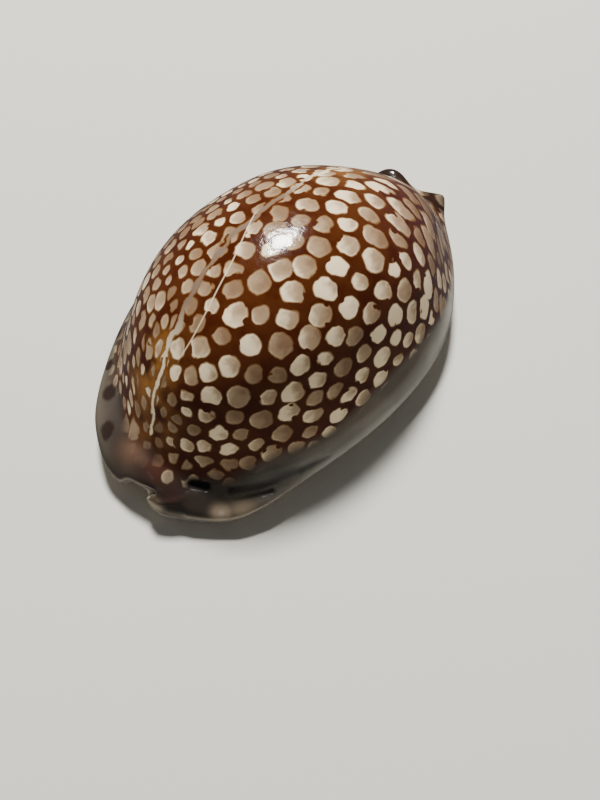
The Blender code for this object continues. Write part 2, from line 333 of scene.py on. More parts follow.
def loft(net, row_places, column_places):
    """The sheet's points, an array of rows, columns and coordinates."""
    down = spline_matrix(row_places, net.shape[0], False)
    round_shell = spline_matrix(column_places, net.shape[1], True)
    return np.einsum("ir,rck,jc->ijk", down, net, round_shell)


top = np.tile([TOP_X, TOP_Y, HEIGHT], (COLUMNS, 1))
ceiling = np.tile([TOP_X, TOP_Y, HEIGHT - WALL], (COLUMNS, 1))
half_round = COLUMNS // 2
net = [np.roll(rings[0], half_round, axis=0), top] + rings
net = np.array(net + [ceiling, np.roll(rings[-1], half_round, axis=0)])
ROW = {"top": 1, "shoulder": 6, "neck": 7, "rim": 9, "base": 12, "lip": 14, "slit_top": 15}
ROW["ceiling"] = len(net) - 2
print("net", net.shape)

# %% Where the rows and columns of points lie
SPACINGS = (
    ("top", "shoulder", 0.46 * MM),
    ("shoulder", "rim", 0.32 * MM),
    ("rim", "base", 0.62 * MM),
    ("base", "slit_top", 0.36 * MM),
    ("slit_top", "ceiling", 1.8 * MM),
)
COLUMN_COUNT = 520
FRONT_CROWDING = (1.0, 335, 45)
FINE = 40
MEASURED_COLUMNS = 6
FIRST_MEASURED_COLUMN = 3.0


def run_along(low, high, path_of):
    """Fine places from low to high, and how far along the path each of them lies."""
    fine = np.linspace(low, high, int((high - low) * FINE) + 1)
    steps = np.linalg.norm(np.diff(path_of(fine), axis=0), axis=-1).mean(axis=1)
    return fine, np.concatenate([[0.0], np.cumsum(steps)])


def even_places(fine, run, count):
    """Places that cut the path into equal steps."""
    return np.interp(np.linspace(0, run[-1], count + 1), run, fine)


def angle_at(column_places):
    """Angle round the shell at places between the columns of the rings."""
    return np.interp(column_places, np.arange(COLUMNS + 1), np.append(ANGLE, 360.0))


def down_the_wall(fine):
    """Lines down the wall on some of the columns."""
    measured = np.linspace(0, COLUMNS, MEASURED_COLUMNS, endpoint=False) + FIRST_MEASURED_COLUMN
    return loft(net, fine, measured)


def round_the_edges(fine):
    """The rim and the lip together, which share the columns out between them."""
    return np.moveaxis(loft(net, np.array([ROW["rim"], ROW["lip"]], float), fine), 0, 1)


row_places = [np.array([ROW["top"]], float)]
for first, last, spacing in SPACINGS:
    fine, run = run_along(ROW[first], ROW[last], down_the_wall)
    row_places.append(even_places(fine, run, round(run[-1] / spacing))[1:])
    print(first, "to", last, round(run[-1] / MM, 1), "mm in", len(row_places[-1]), "rows")
row_places = np.concatenate(row_places)
fine, run = run_along(0, COLUMNS, round_the_edges)
fine_angle = angle_at(fine)
crowd, centre, width = FRONT_CROWDING
weight = 1 + crowd * bump((fine_angle[1:] + fine_angle[:-1]) / 2, centre, width)
run = np.concatenate([[0.0], np.cumsum(np.diff(run) * weight)])
column_places = even_places(fine, run, COLUMN_COUNT)[:-1]

# %% The sheet, closed at both poles and resting on the table
POLE_EASE = 1.3
TABLE_SOFTNESS = 0.15 * MM

sheet = loft(net, row_places, column_places)
for pole_row, place in ((0, ROW["top"]), (-1, ROW["ceiling"])):
    off_centre = sheet[pole_row] - sheet[pole_row].mean(axis=0)
    ease = smooth(0, 1, 1 - np.abs(row_places - place) / POLE_EASE)
    sheet = sheet - ease[:, None, None] * off_centre[None]
height = sheet[..., 2]
sheet[..., 2] = (height + np.sqrt(height**2 + TABLE_SOFTNESS**2)) / 2

low, high = sheet.min(axis=(0, 1)), sheet.max(axis=(0, 1))
fit = np.minimum((cad_high - cad_low) / (high - low), 1.0)
middle = np.array([(low[0] + high[0]) / 2, (low[1] + high[1]) / 2, low[2]])
rest_on = np.array([(cad_low[0] + cad_high[0]) / 2, (cad_low[1] + cad_high[1]) / 2, cad_low[2]])
sheet = (sheet - middle) * fit + rest_on
print("fit", np.round(fit, 5), "moved in mm", np.round((rest_on - middle) / MM, 3))

# %% [markdown]
# A grown shell is less even than its rings. Six soft pushes shape the lobes beside the front canal
# and lift the beaks behind. Each has a middle, a reach and a move, in millimetres. Hills on the
# rings could do the same, but they would also move the wall above and below.

# %% Push the lobes and the beaks
PUSHES = {
    "labral corner": ((-2.7, -35.1, 4.8), 2.0, (1.0, 0.0, -1.1)),
    "canal roof": ((0.8, -34.3, 6.3), 1.6, (0.5, 0.0, -0.6)),
    "notch": ((3.3, -34.8, 5.6), 1.3, (1.3, 1.2, 0.0)),
    "columellar tip": ((5.0, -35.1, 4.2), 1.5, (-1.2, 0.2, 0.3)),
    "labral beak": ((-4.1, 33.2, 6.8), 3.9, (-0.4, 0.1, 1.8)),
    "columellar beak": ((5.3, 34.9, 6.2), 1.4, (0.1, 0.2, 1.5)),
}
for centre, radius, move in PUSHES.values():
    gap = np.linalg.norm(sheet / MM - np.array(centre), axis=-1)
    sheet = sheet + bell(gap / radius)[..., None] * np.array(move) * MM
sheet = np.clip(sheet, cad_low, cad_high)
print("sheet of", sheet.shape[0], "rows and", sheet.shape[1], "columns")

# %% Points and faces of the shell
rows, columns = sheet.shape[:2]
points = np.concatenate([sheet[0, :1], sheet[1:-1].reshape(-1, 3), sheet[-1, :1]])
angles = angle_at(column_places)


def spread(per_row, per_column):
    """A value for every point, from one array down the rows and one round the columns."""
    grid = np.broadcast_arrays(per_row[:, None], per_column[None])
    grid = [part.astype(float) for part in grid]
    return [np.concatenate([part[0, :1], part[1:-1].ravel(), part[-1, :1]]) for part in grid]


place, angle = spread(row_places, angles)
here = 1 + np.arange(rows - 3)[:, None] * columns + np.arange(columns)[None]
after = np.roll(here, -1, axis=1)
quads = np.stack([here, after, after + columns, here + columns], axis=-1).reshape(-1, 4)
ring_start = np.arange(columns)
top_fan = np.stack([np.zeros(columns, int), 1 + np.roll(ring_start, -1), 1 + ring_start], axis=1)
last_ring = 1 + (rows - 3) * columns + ring_start
end_fan = np.stack([last_ring, np.roll(last_ring, -1), np.full(columns, len(points) - 1)], axis=1)
faces = quads.tolist() + top_fan.tolist() + end_fan.tolist()


def show(name, data):
    """A new object in the scene."""
    thing = bpy.data.objects.new(name, data)
    bpy.context.scene.collection.objects.link(thing)
    return thing


def shell_sheet():
    """A mesh of the points as they are now, and the normals at its points."""
    mesh = bpy.data.meshes.new("cowrie_shell")
    mesh.from_pydata(points.tolist(), [], faces)
    mesh.shade_smooth()
    found = np.empty((len(points), 3), np.float32)
    mesh.vertex_normals.foreach_get("vector", found.ravel())
    return mesh, found


smooth_mesh, normals = shell_sheet()
print(len(points), "points,", 2 * len(quads) + 2 * columns, "triangles")

# %% [markdown]
# ## Folds at the front
# Beside the front canal the callus lies in folds: a deep pit under the edge of the dorsum, a wedge
# and a ridge that run on from it, a hollowed flange and a curled lip. They could be sculpted by
# hand, but here each is pressed in along a short route, in millimetres, with one width and with a
# depth at its start and at its end. A depth below zero raises a ridge. Some get painted shade inside.

# %% Press the folds
FOLDS = {
    "pit": (((7.9, -29.8, 6.8), (9.5, -28.8, 6.5)), 0.62, (1.2, 1.2)),
    "wedge": (((12.4, -27.0, 6.2), (13.5, -26.0, 6.3), (14.4, -25.0, 6.3), (15.5, -23.5, 6.3),
               (16.6, -21.8, 6.2)), 0.36, (0.75, 0.1)),
    "ridge": (((12.3, -27.8, 6.0), (13.7, -26.5, 6.0), (14.7, -25.3, 6.1), (15.8, -23.8, 6.1),
               (17.3, -20.8, 6.2), (18.6, -17.5, 6.2)), 0.35, (-0.28, -0.12)),
    "under_fold": (((13.5, -27.3, 5.8), (14.8, -25.9, 5.8), (16.3, -24.2, 5.8), (17.0, -23.2, 5.7)),
                   0.50, (0.2, 0.85)),
    "second_fold": (((18.1, -18.4, 6.2), (19.0, -16.0, 6.2), (19.8, -14.0, 6.0)), 0.40, (0.35, 0.2)),
    "pocket": (((6.7, -34.4, 4.1), (8.5, -33.5, 3.8)), 0.65, (0.75, 0.65)),
    "bowl": (((12.3, -28.6, 5.4), (14.8, -26.2, 5.6)), 1.9, (0.95, 0.7)),
    "curl": (((4.4, -34.4, 5.4), (5.3, -34.5, 5.1), (6.4, -33.9, 5.1), (7.0, -33.3, 5.3),
              (7.6, -32.5, 5.5), (8.2, -31.7, 5.7)), 0.42, (-0.42, -0.12)),
}
# Painted shade: how dark the inside of each deep fold is painted, where shade falls in it.
SHADED_FOLDS = {"pit": 1.0, "wedge": 0.65, "under_fold": 0.40, "pocket": 0.8, "second_fold": 0.35}
FOLD_SHADE_REACH = 1.35
FOLD_SHADE_SOFTNESS = 0.75
FOLD_SHADE_DEPTH = 0.6


def along_route(route):
    """Distance of every point to a route, in millimetres, and the share of the way along it."""
    route = np.array(route)
    nearest = np.full(len(points), np.inf)
    share = np.zeros(len(points))
    for leg, (start, end) in enumerate(zip(route[:-1], route[1:])):
        step = end - start
        way = np.clip((points / MM - start) @ step / (step @ step), 0, 1)
        gap = np.linalg.norm(points / MM - start - way[:, None] * step, axis=1)
        share = np.where(gap < nearest, (leg + way) / (len(route) - 1), share)
        nearest = np.minimum(gap, nearest)
    return nearest, share


pressed = np.zeros(len(points))
painted_fold_shade = np.zeros(len(points))
above_base = place < ROW["base"]
for name, (route, width, (first, last)) in FOLDS.items():
    gap, share = along_route(route)
    depth = first + (last - first) * share
    pressed += bell(gap / width) * above_base * depth
    if name in SHADED_FOLDS:
        shade_in_fold = np.clip((FOLD_SHADE_REACH - gap / width) / FOLD_SHADE_SOFTNESS, 0, 1) * above_base
        shade_in_fold *= SHADED_FOLDS[name] * np.clip(depth / FOLD_SHADE_DEPTH, 0, 1)
        painted_fold_shade = np.maximum(painted_fold_shade, shade_in_fold)
points = points - normals * pressed[:, None] * MM
shell_mesh, normals = shell_sheet()
bpy.data.meshes.remove(smooth_mesh)
shell = show("cowrie_shell", shell_mesh)
print("folds pressed up to", round(float(pressed.max()), 2), "mm deep")

# %% [markdown]
# ## Teeth
# Both lips carry a row of low ridges, which start on the base and run over the lip into the slit.
# They could be separate tubes, but on the shell they are thickenings of the same wall. So a
# Geometry Nodes tree lifts the sheet in ridges: it reads how far along the slit a point lies and
# how much of the ridge reaches it, and takes its sizes from named inputs.

# %% Where the teeth reach
TOOTH_COUNT = 23
TEETH_LENGTH = 50.0 * MM
TEETH_FADE = 1.2 * MM
LABRAL_TOOTH_REACH = 4.8 * MM
COLUMELLAR_TOOTH_REACH = 3.6 * MM
TOOTH_FULL_SHARE = 0.25
TOOTH_FIRST_ROW = 11.0
TOOTH_INNER_ROWS = (14.6, 15.7)


def store(name, values, kind="FLOAT", domain="POINT"):
    """Keep an array on the mesh as a named attribute."""
    layer = shell_mesh.attributes.new(name, kind, domain)
    part = "vector" if kind == "FLOAT_VECTOR" else "value"
    layer.data.foreach_set(part, np.ravel(values).astype(np.float32))


ring_frame = points - (rest_on - middle)
from_slit = ring_frame[:, 0] - slit_middle(ring_frame[:, 1])
out_of_slit = np.abs(from_slit) - slit_half(ring_frame[:, 1])
reach_here = np.where(from_slit < 0, LABRAL_TOOTH_REACH, COLUMELLAR_TOOTH_REACH)
tooth_reach = 1 - smooth(TOOTH_FULL_SHARE, 1.0, out_of_slit / reach_here)
tooth_reach *= smooth(TOOTH_FIRST_ROW, TOOTH_FIRST_ROW + 1, place)
tooth_reach *= 1 - smooth(*TOOTH_INNER_ROWS, place)
tooth_reach *= 1 - smooth(0, TEETH_FADE, np.abs(ring_frame[:, 1]) - TEETH_LENGTH / 2)
store("painted_fold_shade", painted_fold_shade)
store("tooth_run", ring_frame[:, 1] + TEETH_LENGTH / 2)
store("tooth_reach", tooth_reach)
print("points on teeth", np.count_nonzero(tooth_reach))

# %% Small helpers for node trees
def put(socket, value):
    """Links another socket to an input, or sets the input to a plain value."""
    if isinstance(value, bpy.types.NodeSocket):
        socket.id_data.links.new(value, socket)
    else:
        socket.default_value = value


def fill(node, inputs):
    """Fills the inputs of a node, found by their number or their name."""
    for key, value in inputs.items():
        if value is not None:
            put(node.inputs[key], value)
    return node


def add(tree, kind, inputs=(), **settings):
    """A node with its settings, and its inputs as a list or by name."""
    node = tree.nodes.new(kind)
    for name, value in settings.items():
        setattr(node, name, value)
    return fill(node, inputs if isinstance(inputs, dict) else dict(enumerate(inputs)))


def tree_of(values):
    """The tree of the first socket among some values."""
    return next(value.id_data for value in values if isinstance(value, bpy.types.NodeSocket))


def calc(operation, *values):
    """One step of arithmetic on sockets and numbers."""
    return add(tree_of(values), "ShaderNodeMath", values, operation=operation).outputs[0]


def arrow(operation, *values):
    """One step of vector arithmetic. SCALE takes its number as the fourth value."""
    node = add(tree_of(values), "ShaderNodeVectorMath", values, operation=operation)
    return node.outputs["Value" if operation in ("DOT_PRODUCT", "LENGTH") else "Vector"]


def new_socket(tree, name, kind, direction="INPUT"):
    """A named input or output of a tree."""
    tree.interface.new_socket(name, in_out=direction, socket_type=kind)


times = partial(calc, "MULTIPLY")
plus = partial(calc, "ADD")
minus = partial(calc, "SUBTRACT")
scaled = partial(calc, "MULTIPLY_ADD")

# %% The tree that lifts the teeth
TOOTH_SIZES = {
    "Pitch": TEETH_LENGTH / (TOOTH_COUNT - 1),
    "Height": 0.55 * MM,
    "Sharpness": 1.4,
    "Unevenness": 0.18,
    "Table": float(cad_low[2]),
}
TOOTH_SEED = 5


teeth = bpy.data.node_groups.new("teeth", "GeometryNodeTree")
new_socket(teeth, "Shell", "NodeSocketGeometry")
new_socket(teeth, "Shell", "NodeSocketGeometry", "OUTPUT")
for name in TOOTH_SIZES:
    new_socket(teeth, name, "NodeSocketFloat")
new_socket(teeth, "Seed", "NodeSocketInt")
new_socket(teeth, "Finish", "NodeSocketMaterial")
given = add(teeth, "NodeGroupInput").outputs
run, reach = (
    add(teeth, "GeometryNodeInputNamedAttribute", [name], data_type="FLOAT").outputs[0]
    for name in ("tooth_run", "tooth_reach")
)

# A ridge is a raised cosine along the slit, and no two are the same height.
turns = calc("DIVIDE", run, given["Pitch"])
number = calc("ROUND", turns)
wave = calc("COSINE", times(minus(turns, number), 2 * math.pi))
ridge = times(calc("POWER", scaled(wave, 0.5, 0.5), given["Sharpness"]), reach)
span = {2: -1.0, 3: 1.0, "ID": number, "Seed": given["Seed"]}
luck = add(teeth, "FunctionNodeRandomValue", span, data_type="FLOAT").outputs[1]
size = scaled(luck, given["Unevenness"], 1.0)
lift = times(times(ridge, size), given["Height"])

# The sheet is lifted along its normals and kept above the table.
normal = add(teeth, "GeometryNodeInputNormal").outputs[0]
outwards = arrow("SCALE", normal, None, None, lift)
lifted = add(teeth, "GeometryNodeSetPosition", [given["Shell"], None, None, outwards])
position = add(teeth, "GeometryNodeInputPosition").outputs[0]
x, y, z = add(teeth, "ShaderNodeSeparateXYZ", [position]).outputs
above = add(teeth, "ShaderNodeCombineXYZ", [x, y, calc("MAXIMUM", z, given["Table"])])
rested = add(teeth, "GeometryNodeSetPosition", [lifted.outputs[0], None, above.outputs[0]])
ridge_kept = {0: rested.outputs[0], "Name": "tooth_ridge", "Value": ridge}
stored = add(teeth, "GeometryNodeStoreNamedAttribute", ridge_kept, data_type="FLOAT", domain="POINT")
real = add(teeth, "GeometryNodeRealizeInstances", [stored.outputs[0]])
finished = add(teeth, "GeometryNodeSetMaterial", [real.outputs[0], None, given["Finish"]])
add(teeth, "NodeGroupOutput", [finished.outputs[0]])
print(TOOTH_COUNT, "teeth a lip,", round(TOOTH_SIZES["Pitch"] / MM, 2), "mm apart")

# %% [markdown]
# ## Spots
# The pattern is pale rounded spots, packed so closely that the brown between them is a net. They
# nearly meet, so each looks like a circle that is cut off halfway to its neighbours. The same
# rule is used here: seeds are thrown at random, none nearer than their sizes allow, then moved to
# the middle of the ground that they hold. Painting a picture or a Voronoi
# texture would be other ways, but neither lets the spots grow larger on the columellar side,
# smaller beside the line and longer towards the ends, as they do on this shell. A hill of the
# spacing, the stretch or the tone is a size, a middle on the plan and a radius in millimetres.

# %% Sizes of the spots over the shell
SPOT_SPACING = 3.15
SPACING_HILLS = (
    (0.50, 10.0, -4.0, 10.0),
    (0.25, 9.0, -18.0, 8.0),
    (-0.95, -13.0, 2.0, 12.0),
    (-0.80, -6.5, -15.0, 7.0),
    (-1.45, -7.5, -26.0, 6.5),
    (-0.70, 1.0, -31.0, 5.0),
    (-0.50, 2.0, 30.0, 9.0),
    (-0.45, 15.0, 20.0, 9.0),
    (-0.60, -21.0, 8.0, 9.0),
    (-0.60, 4.0, -27.0, 5.0),
)
LENGTHWISE = (0.0, 1.0, 0.0)
CROSSWISE = (0.62, 0.05, -0.78)
STRETCH_HILLS = (
    (1.10, 13.0, 19.0, 11.0, CROSSWISE),
    (0.90, 5.0, 27.0, 9.0, CROSSWISE),
    (1.15, -7.5, -26.0, 6.5, LENGTHWISE),
    (0.30, -14.0, 20.0, 12.0, LENGTHWISE),
    (0.10, -4.0, -4.0, 20.0, LENGTHWISE),
)
LEAST_LENGTH = 0.3
MOST_STRETCH = 0.9
TINY = 1e-6


def hills_at(spots, hills):
    """The sum of round hills on the plan, each a size, a middle and a radius in millimetres."""
    total = np.zeros(len(spots))
    for size, x, y, radius in hills:
        gap = (spots[:, 0] / MM - x) ** 2 + (spots[:, 1] / MM - y) ** 2
        total += size * np.exp(-gap / radius**2)
    return total


# The grain is the direction in which the spots are stretched, and its length says how much.
grain = np.zeros_like(points)
for *shape, direction in STRETCH_HILLS:
    along = np.array(direction) - normals * (normals @ np.array(direction))[:, None]
    along /= np.maximum(np.linalg.norm(along, axis=1), LEAST_LENGTH)[:, None]
    grain += along * hills_at(points, [shape])[:, None]
size = np.maximum(np.linalg.norm(grain, axis=1), TINY)[:, None]
grain = grain / size * np.sqrt(np.clip(1 - 1 / (1 + size), 0, MOST_STRETCH))
spot_spacing = (SPOT_SPACING + hills_at(points, SPACING_HILLS)) * MM
print("spacing from", round(spot_spacing.min() / MM, 2), "to", round(spot_spacing.max() / MM, 2), "mm")

# %% Seeds of the spots
SPOT_SEED = 11
CANDIDATES = 26000
CLOSEST = 0.80
LOWEST_SPOT = 5.0 * MM
LAST_SPOT_ROW = ROW["rim"] + 0.6

chance = np.random.default_rng(SPOT_SEED)
corner = points[quads]
quad_middle = corner.mean(axis=1)
diagonals = corner[:, 2] - corner[:, 0], corner[:, 3] - corner[:, 1]
quad_area = np.linalg.norm(np.cross(*diagonals), axis=1) / 2
outside = (place[quads].mean(axis=1) < LAST_SPOT_ROW) & (quad_middle[:, 2] > LOWEST_SPOT)
outside_quads = np.where(outside)[0]
outside_middle = quad_middle[outside]
outside_area = quad_area[outside]
outside_grain = grain[quads[outside]].mean(axis=1)
outside_spacing = spot_spacing[quads[outside]].mean(axis=1)


def stretched_gap(offset, along):
    """Distance with the part along the grain shortened, so that equal distances make long spots."""
    shortened = offset - along * (offset * along).sum(axis=-1, keepdims=True)
    return np.linalg.norm(shortened, axis=-1)


seeds = []
for pick in chance.choice(len(outside_quads), CANDIDATES, p=outside_area / outside_area.sum()):
    gap = stretched_gap(outside_middle[seeds] - outside_middle[pick], outside_grain[pick])
    room = (outside_spacing[seeds] + outside_spacing[pick]) / 2
    if (gap >= CLOSEST * room).all():
        seeds.append(pick)
print(len(seeds), "spots")

# %% Settle the spots
SETTLING_ROUNDS = 3
CHUNK = 1500
SPOT_RADIUS = (0.36, 0.51)


def nearest_spots(count):
    """The nearest spots to each outside face, by the distance to their edge."""
    found = []
    for start in range(0, len(outside_middle), CHUNK):
        part = slice(start, start + CHUNK)
        offset = outside_middle[part, None] - spot_middle[None]
        gap = stretched_gap(offset, outside_grain[part, None]) - spot_radius[None]
        if count == 1:
            found.append(np.argmin(gap, axis=1)[:, None])
            continue
        ranked = np.argpartition(gap, count, axis=1)[:, :count]
        order = np.argsort(np.take_along_axis(gap, ranked, axis=1), axis=1)
        found.append(np.take_along_axis(ranked, order, axis=1))
    return np.concatenate(found)


spot_middle = outside_middle[seeds]
spot_radius = outside_spacing[seeds] * chance.uniform(*SPOT_RADIUS, len(seeds))
for settling in range(SETTLING_ROUNDS):
    owner = nearest_spots(1)[:, 0]
    area = np.bincount(owner, outside_area, len(seeds))
    held = area > 0
    for axis in range(3):
        moment = np.bincount(owner, outside_area * outside_middle[:, axis], len(seeds))
        spot_middle[held, axis] = moment[held] / area[held]
print("radius of the spots", np.round(np.percentile(spot_radius / MM, (5, 50, 95)), 2), "mm")

# %% Tones, and pairs that have grown together
TONE_SPREAD = (1.0, 1.1)
TONE_HILLS = (
    (-0.15, -14.0, 0.0, 10.0),
    (-0.45, -5.0, -16.0, 5.0),
    (0.12, 6.0, 6.0, 9.0),
    (-0.20, 12.0, 20.0, 8.0),
    (0.20, -11.0, -21.0, 6.0),
    (0.42, 19.0, 4.0, 9.0),
    (-0.80, 1.0, -31.0, 4.0),
)
MERGED_SHARE = 0.10
MERGED_RADIUS = 0.51

spot_tone = chance.beta(*TONE_SPREAD, len(seeds)) + hills_at(spot_middle, TONE_HILLS)
spot_family = np.arange(len(seeds)).astype(float)
gaps = np.linalg.norm(spot_middle[:, None] - spot_middle[None], axis=-1)
np.fill_diagonal(gaps, np.inf)
for spot in np.where(chance.random(len(seeds)) < MERGED_SHARE)[0]:
    partner = int(np.argmin(gaps[spot]))
    if np.isin(spot_family, spot_family[[spot, partner]]).sum() > 2:
        continue
    spot_family[partner] = spot_family[spot]
    spot_tone[partner] = spot_tone[spot]
    spot_radius[[spot, partner]] = gaps[spot, partner] * MERGED_RADIUS
print("merged pairs", len(seeds) - len(np.unique(spot_family)))

# %% Keep the nearest spots on every face
NEAREST = 4

near = np.zeros((len(faces), NEAREST), int)
near[outside_quads] = nearest_spots(NEAREST)
near[len(quads):len(quads) + columns] = near[:columns]
for rank in range(NEAREST):
    index = near[:, rank]
    store(f"spot_{rank}", spot_middle[index], "FLOAT_VECTOR", "FACE")
    facts = np.stack([spot_radius[index] / MM, spot_tone[index], spot_family[index]], axis=1)
    store(f"spot_facts_{rank}", facts, "FLOAT_VECTOR", "FACE")
store("grain", grain, "FLOAT_VECTOR")
print("spots kept on", len(faces), "faces")

# %% [markdown]
# ## Zones of the shell
# The spotted dorsum ends in a pale line where the two lobes of the mantle met. Round its foot lies
# a grey, half clear callus that fades over the spots, and the base and the lips are fawn. Each of
# these is a smooth value on the points of the sheet, worked out from the place on the shell, and
# the finish mixes the colours by them.

# %% Callus, base and chamber
CALLUS_TOP = 7.3
CALLUS_HILLS = (
    (5.6, 265, 32), (2.0, 312, 14), (2.0, 4, 13), (0.4, 343, 12), (-0.6, 228, 14), (5.0, 166, 9),
    (0.4, 110, 40), (1.6, 27, 11),
)
CALLUS_SOFTNESS = 1.9
CALLUS_DEPTH = 3.0
LIGHT_HILLS = ((1.0, 272, 42), (0.5, 325, 18), (0.8, 28, 16))
FLANK_TOP = 8.6
FLANK_HILL = (2.6, 240, 22)
FLANK_FADE = 3.4
FLANK_PLACE = (258, 48)
FLANK_BAND = (300, 20)
FLANK_BAND_Z = (6.7, 0.5)
FLANK_BAND_SIZE = 0.55
FRONT_HILL = (0.95, 2, 42)
RIM_PLAIN_SIDES = ((-0.8, 250, 60), (-0.9, 172, 24))
RIM_PLAIN_FRONT = ((-0.6, 2, 34), (-0.7, 338, 24))
RIM_EDGE_DIMMED = 0.7
RIM_EDGE_PLAIN = (200, 75)
FLANK_END = (ROW["rim"] - 0.2, ROW["rim"] + 0.6)
FRONT_START = (ROW["shoulder"] - 0.4, ROW["shoulder"] + 0.4)
BASE_START = (ROW["rim"] - 0.1, ROW["rim"] + 1.6)
CHAMBER_START = (ROW["lip"] + 0.3, ROW["slit_top"] + 0.8)
RIM_HIGHLIGHT_ROW = (ROW["rim"] - 0.9, 0.55)
RIM_EDGE_ROW = (ROW["rim"] - 0.1, 0.22)

along_mm, height_mm = points[:, 1] / MM, points[:, 2] / MM


def near_row(row, width):
    """A band round the shell along one row."""
    return bell((place - row) / width)


callus_top = hills_round(angle, CALLUS_HILLS, CALLUS_TOP)
callus = np.clip((callus_top - height_mm) / CALLUS_SOFTNESS, -CALLUS_DEPTH, CALLUS_DEPTH)
store("callus", np.where(place > ROW["rim"], CALLUS_DEPTH, callus))
store("callus_light", np.clip(hills_round(angle, LIGHT_HILLS), 0, 1))
# Painted sheen: the columellar flank is painted paler towards its foot, and a pale band runs along it
# further forward, where the glaze catches soft light.
flank_top = hills_round(angle, [FLANK_HILL], FLANK_TOP)
flank = np.clip((flank_top - height_mm) / FLANK_FADE, 0, 1) * plateau(angle, *FLANK_PLACE)
band = bell((height_mm - FLANK_BAND_Z[0]) / FLANK_BAND_Z[1]) * plateau(angle, *FLANK_BAND)
flank = np.maximum(flank, FLANK_BAND_SIZE * band)
store("painted_flank_sheen", flank * (1 - smooth(*FLANK_END, place)))
store("front", hills_round(angle, [FRONT_HILL]) * smooth(*FRONT_START, place))
store("base", smooth(*BASE_START, place))
store("chamber", smooth(*CHAMBER_START, place))
# Painted highlight: a pale band just above the rim, where its upper face catches the lamp, fainter on
# the columellar side, behind and in front.
lit_sides = np.clip(hills_round(angle, RIM_PLAIN_SIDES, 1.0), 0, 1)
lit_front = np.clip(hills_round(angle, RIM_PLAIN_FRONT, 1.0), 0, 1)
store("painted_rim_highlight", lit_sides * lit_front * near_row(*RIM_HIGHLIGHT_ROW))
# Painted highlight: a thin bright line along the very edge of the rim, fainter round the back.
edge_highlight_share = 1 - RIM_EDGE_DIMMED * plateau(angle, *RIM_EDGE_PLAIN)
store("painted_edge_highlight", edge_highlight_share * near_row(*RIM_EDGE_ROW))
print("callus top between", round(callus_top.min(), 1), "and", round(callus_top.max(), 1), "mm")

# %% The pale line, and a painted highlight along a fine ridge beside it
LINE_ROUTE = (
    (-0.9, 30.0), (-1.2, 22.0), (-2.2, 12.4), (-2.0, 6.3), (-2.4, 2.7), (-2.7, -2.8), (-3.3, -7.1),
    (-3.0, -10.8), (-2.4, -14.9), (-2.0, -19.0), (-1.6, -23.5), (-0.9, -27.0), (-0.5, -30.0),
)
# Route of a painted highlight: a fine bright line where a faint growth ridge catches the lamp.
RIDGE_GLINT_ROUTE = (
    (-3.4, -1.0), (-2.3, -4.3), (-0.6, -8.8), (0.1, -12.7), (0.8, -16.2), (1.0, -20.0), (0.5, -22.0),
)
CREAM_BEHIND = (2.0, 14.0)
CREAM_IN_FRONT = (-25.0, -16.0)
LINE_STEPS = 200
LINE_FADE = 1.0


def keep_line(name, route):
    """Keeps the sideways distance to a route in millimetres, and 1 between its ends."""
    route = np.array(route)[::-1]
    steps = np.linspace(0, len(route) - 1, LINE_STEPS)
    line_x, line_y = (spline_matrix(steps, len(route), False) @ route).T
    begun = smooth(line_y[0] - LINE_FADE, line_y[0] + LINE_FADE, along_mm)
    ended = smooth(line_y[-1] - LINE_FADE, line_y[-1] + LINE_FADE, along_mm)
    store(name + "_across", points[:, 0] / MM - np.interp(along_mm, line_y, line_x))
    store(name + "_ends", begun * (1 - ended) * (place < ROW["neck"]))


keep_line("line", LINE_ROUTE)
keep_line("ridge_glint", RIDGE_GLINT_ROUTE)
store("line_cream", smooth(*CREAM_BEHIND, along_mm) + 1 - smooth(*CREAM_IN_FRONT, along_mm))
print("the pale line is", LINE_ROUTE[0][1] - LINE_ROUTE[-1][1], "mm long")

# %% Blotches of the margin, each a middle, a height and a length in millimetres
BLOTCHES = (
    (-11.8, -26.2, 6.4, 1.0, 1.9), (-7.6, -30.9, 6.1, 1.0, 1.9), (-15.6, -22.8, 6.0, 0.7, 1.2),
    (-18.6, -17.5, 5.6, 0.9, 1.5), (-21.0, -10.0, 5.4, 1.0, 1.4), (-22.0, -2.0, 5.8, 0.9, 1.7),
    (-22.1, 6.5, 5.2, 1.0, 1.3), (-20.6, 14.0, 5.8, 0.8, 1.5), (-17.4, 20.6, 5.6, 0.9, 1.2),
    (4.9, 34.2, 8.2, 3.6, 3.6), (-3.2, 33.2, 8.6, 4.2, 5.4),
)
BLOTCH_FLOOR = -3.0

blotch = np.full(len(points), BLOTCH_FLOOR)
for x, y, z, tall, long in BLOTCHES:
    flat = np.hypot(points[:, 0] / MM - x, along_mm - y) / long
    blotch = np.maximum(blotch, 1 - np.hypot(flat, (height_mm - z) / tall))
store("blotch", blotch)
print(len(BLOTCHES), "blotches")

# %% Patches of colour, each a middle, a reach and a strength, and hills of colour on the plan
PATCHES = {
    "blush": ((-2.0, -31.8, 7.5, 2.5, 0.75),),
    "dark_blush": ((2.4, -31.9, 7.7, 2.0, 0.9), (6.4, -32.8, 6.0, 1.6, 0.8)),
    # The first two patches are a painted reflection in the front bowl; the last is the pale columellar
    # tip.
    "pale_tip_and_reflection": ((15.0, -27.2, 4.7, 2.2, 0.5), (13.1, -29.8, 4.2, 1.5, 0.8), (4.9, -34.8, 4.3, 1.3, 0.7)),
}
COLOUR_HILLS = {
    "amber": ((0.35, 0.0, 14.0, 9.0), (0.35, -2.5, -24.0, 4.0)),
    "purple": ((1.0, 12.0, 20.0, 9.0), (0.5, -10.0, 24.0, 9.0)),
    "gold": ((0.8, -3.2, -23.5, 3.0), (0.35, -0.5, 16.0, 5.0), (0.35, 0.4, -28.0, 3.2)),
}

